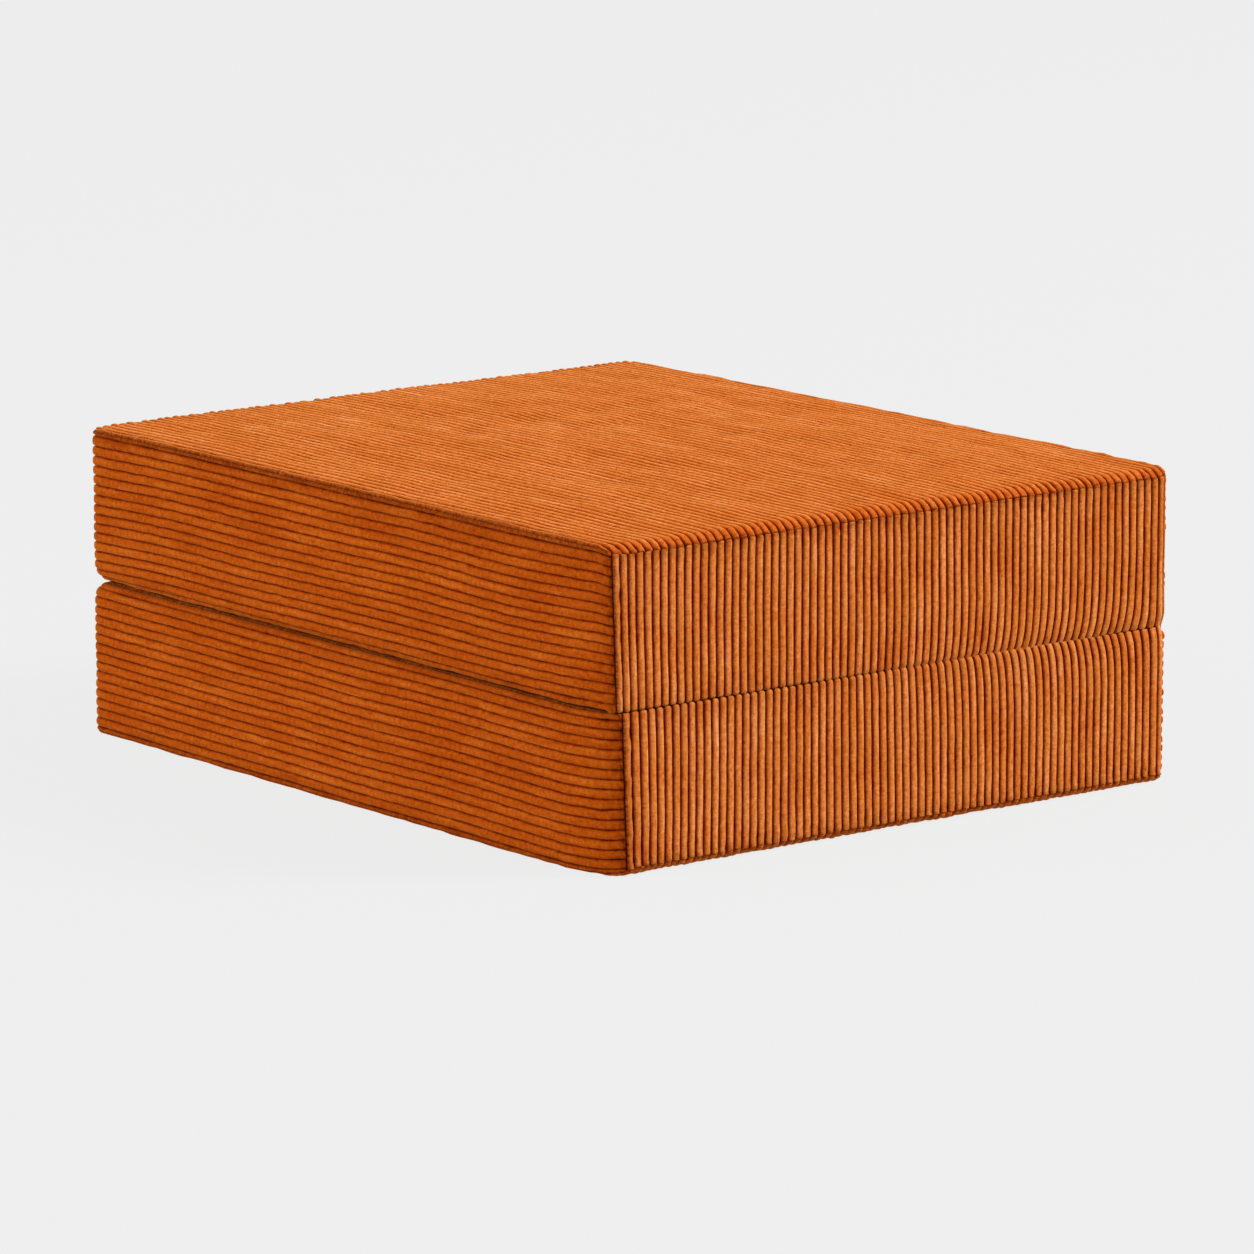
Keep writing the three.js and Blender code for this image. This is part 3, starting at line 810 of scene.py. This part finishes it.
def fold_tape():
    """A doubled tape between the panels: one leaf sewn to each, and a bend just inside the fold line."""
    low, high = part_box("fold_hinge_tape")
    middle_z = (low.z + high.z) / 2
    bend_x = high.x - FOLD_TAPE_DEPTH
    leaf_x = low.x + (bend_x - low.x) * np.linspace(0, 1, 9)
    angle = np.radians(np.linspace(-75, 75, 9))
    x = np.concatenate([leaf_x, bend_x + FOLD_TAPE_BEND * np.cos(angle), leaf_x[::-1]])
    z = np.concatenate([
        np.full(9, middle_z - FOLD_TAPE_BEND),
        middle_z + FOLD_TAPE_BEND * np.sin(angle),
        np.full(9, middle_z + FOLD_TAPE_BEND),
    ])
    y = np.linspace(low.y, high.y, 90)
    points = stacked(x[:, None], y[None, :], z[:, None])
    mesh = mesh_of("fold_tape_weave", points, grid_faces(*points.shape[:2]))
    paint(mesh, "cloth", stacked(y[None, :], x[:, None], np.zeros_like(points[..., 0])))
    mesh.materials.append(TAPE_WEAVE)
    piece = linked("fold_tape_weave", mesh)
    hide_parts("fold_hinge_tape")
    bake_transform(piece)


# Materials

def new_material(name):
    material = bpy.data.materials.new(name)
    material.use_nodes = True
    nodes = material.node_tree.nodes
    return material, nodes, material.node_tree.links, nodes["Principled BSDF"]


def make(nodes, kind, **values):
    """A node with its settings and its unlinked inputs filled in by name."""
    made = nodes.new(kind)
    for key, value in values.items():
        if hasattr(made, key):
            setattr(made, key, value)
        else:
            made.inputs[key.replace("_", " ")].default_value = value
    return made


def ramp(nodes, links, source, *stops):
    """Colours a number: each stop is a place and a colour, or a place and a grey."""
    made = nodes.new("ShaderNodeValToRGB")
    elements = made.color_ramp.elements
    for i, (where, colour) in enumerate(stops):
        element = elements[i] if i < 2 else elements.new(where)
        element.position = where
        element.color = (*colour, 1) if hasattr(colour, "__len__") else (colour, colour, colour, 1)
    links.new(source, made.inputs["Fac"])
    return made.outputs["Color"]


def noise(nodes, links, vector, stretch, scale, detail=3.0, roughness=0.55):
    """Noise on coordinates that are first scaled, so that a small number stretches it that way."""
    mapping = make(nodes, "ShaderNodeMapping", Scale=stretch)
    links.new(vector, mapping.inputs["Vector"])
    made = make(nodes, "ShaderNodeTexNoise", Scale=scale, Detail=detail, Roughness=roughness)
    links.new(mapping.outputs["Vector"], made.inputs["Vector"])
    return made.outputs["Fac"]


def worked_out(nodes, links, operation, *values):
    """A number worked out from plain numbers and other nodes' outputs."""
    made = make(nodes, "ShaderNodeMath", operation=operation)
    for socket, value in zip(made.inputs, values):
        if isinstance(value, float):
            socket.default_value = value
        else:
            links.new(value, socket)
    return made.outputs["Value"]


def multiplied(nodes, links, first, *others):
    """Colours multiplied together."""
    for other in others:
        mix = make(nodes, "ShaderNodeMix", data_type="RGBA", blend_type="MULTIPLY")
        mix.inputs["Factor"].default_value = 1.0
        links.new(first, mix.inputs[6])
        links.new(other, mix.inputs[7])
        first = mix.outputs[2]
    return first


def bumped(nodes, links, shader, height, strength, distance):
    bump = make(nodes, "ShaderNodeBump", Strength=strength, Distance=distance)
    links.new(height, bump.inputs["Height"])
    links.new(bump.outputs["Normal"], shader.inputs["Normal"])


def object_coordinates(nodes):
    return nodes.new("ShaderNodeTexCoord").outputs["Object"]


def corduroy():
    """Burnt-orange cotton pile with brushed patches and flecks, plus painted shade in the grooves and
    towards the seams, painted shade and highlight in the gathers at seams, and painted sheen on the rib
    crowns and where the cloth turns away.
    """
    material, nodes, links, shader = new_material("corduroy")
    rib, seam, seam_shade, face_sheen = (
        make(nodes, "ShaderNodeAttribute", attribute_name=name).outputs["Fac"]
        for name in ("rib", "seam", "seam_shade", "face_sheen")
    )
    cloth = make(nodes, "ShaderNodeAttribute", attribute_name="cloth").outputs["Vector"]
    uneven = noise(nodes, links, cloth, (0.30, 1, 1), 330, 2.0)
    roughened = worked_out(nodes, links, "MULTIPLY_ADD", uneven, 0.6, rib)
    level = worked_out(nodes, links, "SUBTRACT", roughened, 0.32)
    # Painted shade: the colour darkens from the rib crowns down into the grooves, and is broken up along
    # them.
    groove_shade = ramp(
        nodes, links, level,
        (0.0, (0.032, 0.0018, 0.0)),
        (0.35, (0.20, 0.012, 0.0001)),
        (0.9, (0.60, 0.092, 0.0024)),
    )
    # Painted sheen: the pile is painted paler where the cloth turns away, as velvet's catches the light,
    # and on the rib crowns by each piece's share of painted sheen.
    turned_away = make(nodes, "ShaderNodeLayerWeight", Blend=0.5).outputs["Facing"]
    crown = worked_out(nodes, links, "MULTIPLY", face_sheen, ramp(nodes, links, level, (0.55, 0.0), (1.0, 0.32)))
    rim = ramp(nodes, links, turned_away, (0.6, 0.0), (1.0, 0.4))
    sheen_mix = make(nodes, "ShaderNodeMix", data_type="RGBA")
    links.new(worked_out(nodes, links, "ADD", crown, rim), sheen_mix.inputs["Factor"])
    links.new(groove_shade, sheen_mix.inputs[6])
    sheen_mix.inputs[7].default_value = (0.68, 0.36, 0.084, 1)
    # Painted light by face: pieces with little painted sheen are painted a deeper red, with less blue.
    face_sheen_tone = ramp(nodes, links, face_sheen, (0.0, (1.0, 0.96, 0.45)), (0.4, (1.0, 1.0, 1.0)))
    # Painted shade, darker towards the seams, the edges and the crease.
    seam_shade_tone = ramp(nodes, links, seam_shade, (0.05, (1, 1, 1)), (0.9, (0.74, 0.67, 0.56)))
    brushed = noise(nodes, links, cloth, (0.30, 1, 1), 20, 4.0)
    brushed_tone = ramp(nodes, links, brushed, (0.34, (0.93, 0.88, 0.76)), (0.66, (1.05, 1.14, 1.45)))
    streaks = noise(nodes, links, cloth, (0.09, 1, 1), 130, 3.0, 0.6)
    streak_tone = ramp(
        nodes, links, streaks,
        (0.34, (0.90, 0.84, 0.68)),
        (0.52, (0.98, 0.97, 0.95)),
        (0.70, (1.12, 1.36, 2.1)),
    )
    mottle = noise(nodes, links, cloth, (1, 0.7, 1), 240, 3.0, 0.65)
    mottle_tone = ramp(nodes, links, mottle, (0.32, (0.80, 0.68, 0.50)), (0.68, (1.14, 1.30, 1.80)))
    flecks = noise(nodes, links, cloth, (0.45, 1, 1), 420, 1.0, 0.5)
    fleck_tone = ramp(nodes, links, flecks, (0.24, (0.62, 0.50, 0.36)), (0.32, (1, 1, 1)))
    pile = noise(nodes, links, cloth, (1, 1, 1), 1000, 2.0, 0.7)
    pile_tone = ramp(nodes, links, pile, (0.3, 0.76), (0.7, 1.22))
    # Painted shade and highlight of the small gathers just inside a seam.
    gathers = noise(nodes, links, cloth, (1, 0.25, 1), 420, 1.0, 0.5)
    gather_shading = ramp(nodes, links, gathers, (0.40, (0.50, 0.42, 0.32)), (0.60, (1.16, 1.18, 1.25)))
    at_seam = make(nodes, "ShaderNodeMix", data_type="RGBA", blend_type="MULTIPLY")
    links.new(seam, at_seam.inputs["Factor"])
    tones = (face_sheen_tone, seam_shade_tone, brushed_tone, streak_tone, mottle_tone, fleck_tone, pile_tone)
    body = multiplied(nodes, links, sheen_mix.outputs[2], *tones)
    links.new(body, at_seam.inputs[6])
    links.new(gather_shading, at_seam.inputs[7])
    links.new(at_seam.outputs[2], shader.inputs["Base Color"])
    bumped(nodes, links, shader, worked_out(nodes, links, "MULTIPLY_ADD", mottle, 1.6, pile), 0.6, 0.0010)
    shader.inputs["Roughness"].default_value = 0.9
    shader.inputs["Specular IOR Level"].default_value = 0.02
    shader.inputs["Sheen Weight"].default_value = 0.36
    shader.inputs["Sheen Roughness"].default_value = 0.28
    shader.inputs["Sheen Tint"].default_value = (1.0, 0.50, 0.11, 1)
    return material


def woven(name, pale, dark, threads, sheen):
    """A plain weave or knit: threads crossing both ways, uneven in tone."""
    material, nodes, links, shader = new_material(name)
    where = object_coordinates(nodes)
    warp = make(nodes, "ShaderNodeTexWave", bands_direction="Y", Scale=threads, Distortion=0.6, Detail=2.0)
    weft = make(nodes, "ShaderNodeTexWave", bands_direction="Z", Scale=threads, Distortion=0.6, Detail=2.0)
    links.new(where, warp.inputs["Vector"])
    links.new(where, weft.inputs["Vector"])
    over = worked_out(nodes, links, "MULTIPLY", warp.outputs["Fac"], weft.outputs["Fac"])
    tone = ramp(nodes, links, over, (0.05, dark), (0.7, pale))
    uneven = noise(nodes, links, where, (1, 1, 1), 60, 4.0, 0.6)
    uneven_tone = ramp(nodes, links, uneven, (0.3, 0.85), (0.7, 1.08))
    links.new(multiplied(nodes, links, tone, uneven_tone), shader.inputs["Base Color"])
    bumped(nodes, links, shader, over, 0.6, 0.0003)
    shader.inputs["Roughness"].default_value = 0.85
    shader.inputs["Specular IOR Level"].default_value = 0.1
    shader.inputs["Sheen Weight"].default_value = sheen
    return material


def foam(name, pale, dark):
    """Cut foam: fine open cells, and a slow unevenness of tone."""
    material, nodes, links, shader = new_material(name)
    where = object_coordinates(nodes)
    cells = make(nodes, "ShaderNodeTexVoronoi", Scale=700.0)
    links.new(where, cells.inputs["Vector"])
    tone = ramp(nodes, links, cells.outputs["Distance"], (0.1, dark), (0.55, pale))
    uneven = noise(nodes, links, where, (1, 1, 1), 18, 3.0)
    uneven_tone = ramp(nodes, links, uneven, (0.3, 0.9), (0.7, 1.04))
    links.new(multiplied(nodes, links, tone, uneven_tone), shader.inputs["Base Color"])
    bumped(nodes, links, shader, cells.outputs["Distance"], 0.5, 0.0008)
    shader.inputs["Roughness"].default_value = 0.95
    shader.inputs["Specular IOR Level"].default_value = 0.15
    return material


def zipper_nylon():
    """Dyed nylon thread, a little glossy, with a slight change of tone along it."""
    material, nodes, links, shader = new_material("zipper_nylon")
    uneven = noise(nodes, links, object_coordinates(nodes), (1, 1, 1), 220, 2.0)
    tone = ramp(nodes, links, uneven, (0.35, (0.30, 0.045, 0.008)), (0.65, (0.40, 0.07, 0.014)))
    links.new(tone, shader.inputs["Base Color"])
    bumped(nodes, links, shader, uneven, 0.2, 0.0002)
    shader.inputs["Roughness"].default_value = 0.35
    return material


def zipper_metal():
    """Cast zinc with a satin plating that shows wear: fine brush marks, duller and darker in patches."""
    material, nodes, links, shader = new_material("zipper_metal")
    where = object_coordinates(nodes)
    marks = noise(nodes, links, where, (1, 0.08, 1), 2400, 3.0, 0.7)
    wear = noise(nodes, links, where, (1, 1, 1), 260, 4.0, 0.6)
    tone = ramp(nodes, links, wear, (0.32, (0.30, 0.27, 0.23)), (0.66, (0.58, 0.54, 0.48)))
    roughness = ramp(nodes, links, wear, (0.3, 0.46), (0.7, 0.28))
    links.new(tone, shader.inputs["Base Color"])
    links.new(roughness, shader.inputs["Roughness"])
    bumped(nodes, links, shader, marks, 0.25, 0.00006)
    shader.inputs["Metallic"].default_value = 1.0
    return material


CORDUROY = corduroy()
LINER_KNIT = woven("liner_knit", (0.82, 0.79, 0.71), (0.45, 0.42, 0.36), 260, 0.2)
# The tapes' own red-brown, darkened so the fold tape reads as shade in the crease: partly painted shade.
TAPE_WEAVE = woven("zipper_tape", (0.46, 0.085, 0.012), (0.16, 0.022, 0.003), 420, 0.0)
SUPPORT_FOAM = foam("support_foam", (0.86, 0.80, 0.58), (0.50, 0.44, 0.28))
COMFORT_FOAM = foam("comfort_foam", (0.66, 0.77, 0.82), (0.36, 0.44, 0.50))
ZIPPER_NYLON = zipper_nylon()
ZIPPER_METAL = zipper_metal()


# Everything together

def cover(upper):
    """The seven cloth pieces of a panel's cover."""
    sheet("outer_sheet", upper, True)
    sheet("inner_sheet", upper, False)
    hinge_face(upper)
    # Turned over, the band on a panel's right comes to the stack's left, as on the CAD's upper panel.
    side_band("left_side_band", upper, -1)
    side_band("right_side_band", upper, 1)
    back_band_half("back_band_outer_half", upper, True)
    back_band_half("back_band_inner_half", upper, False)


def filling(upper):
    """The foam and its liner, with the radii of their edges by the outer and the inner sheet."""
    inner_liner(upper)
    foam_block("support_foam", upper, (0.008, 0.0015), SUPPORT_FOAM)
    foam_block("comfort_foam", upper, (0.0015, 0.015), COMFORT_FOAM)


for is_upper in (False, True):
    cover(is_upper)
    filling(is_upper)
    zipper(is_upper)
fold_tape()


# Floor, light and camera

CAMERA_AZIMUTH = math.radians(51.83)
CAMERA_ELEVATION = math.radians(11.13)
CAMERA_DISTANCE = 7.218
CAMERA_LENS_MM = 205.3
AIM_RIGHT = 0.0059
AIM_DOWN = 0.0253


def from_centre(azimuth, elevation):
    """The direction of something seen from the object's middle; azimuth 0 is at -Y and 90 degrees at +X."""
    level = math.cos(elevation)
    return Vector((math.sin(azimuth) * level, -math.cos(azimuth) * level, math.sin(elevation)))


def add_camera():
    """A long lens, aimed a little below the middle of the stack."""
    back = from_centre(CAMERA_AZIMUTH, CAMERA_ELEVATION)
    right = Vector((math.cos(CAMERA_AZIMUTH), math.sin(CAMERA_AZIMUTH), 0))
    up = back.cross(right)
    centre = Vector((PANEL_MIDDLE_X, 0, STACK_HEIGHT / 2))
    camera = bpy.data.objects.new("camera", bpy.data.cameras.new("camera"))
    camera.data.lens = CAMERA_LENS_MM
    camera.data.sensor_width = 36
    camera.data.clip_end = 100
    turn = Matrix((right, up, back)).transposed().to_4x4()
    stand = centre + back * CAMERA_DISTANCE + right * AIM_RIGHT - up * AIM_DOWN
    camera.matrix_world = Matrix.Translation(stand) @ turn
    bpy.context.scene.collection.objects.link(camera)
    bpy.context.scene.camera = camera


def add_floor():
    """A pale floor that glows a little, so that it looks evenly lit, and throws no light on the object."""
    bpy.ops.mesh.primitive_plane_add(size=80)
    floor = bpy.context.object
    floor.name = "floor"
    floor.visible_diffuse = False
    floor.visible_glossy = False
    material, _, _, shader = new_material("floor")
    shader.inputs["Base Color"].default_value = (0.03, 0.03, 0.03, 1)
    shader.inputs["Roughness"].default_value = 1.0
    shader.inputs["Specular IOR Level"].default_value = 0.0
    shader.inputs["Emission Color"].default_value = (1, 1, 1, 1)
    shader.inputs["Emission Strength"].default_value = 0.812
    floor.data.materials.append(material)


def add_light(name, azimuth, elevation, distance, size, power):
    """A square soft light, aimed at the object's middle on the floor. Its angles are in degrees."""
    light = bpy.data.objects.new(name, bpy.data.lights.new(name, "AREA"))
    light.data.size = size
    light.data.energy = power
    back = from_centre(math.radians(azimuth), math.radians(elevation))
    light.location = back * distance
    light.rotation_euler = back.to_track_quat("Z", "Y").to_euler()
    bpy.context.scene.collection.objects.link(light)


def add_world():
    """Soft light, the same all round."""
    world = bpy.data.worlds.new("world")
    world.use_nodes = True
    background = world.node_tree.nodes["Background"]
    background.inputs["Color"].default_value = (0.62, 0.62, 0.62, 1)
    bpy.context.scene.world = world


add_camera()
add_floor()
add_world()
add_light("key", 138, 38, 16, 4.0, 3500)
add_light("fill", -20, 25, 6, 3.0, 110)
bpy.context.scene.view_settings.view_transform = "Standard"
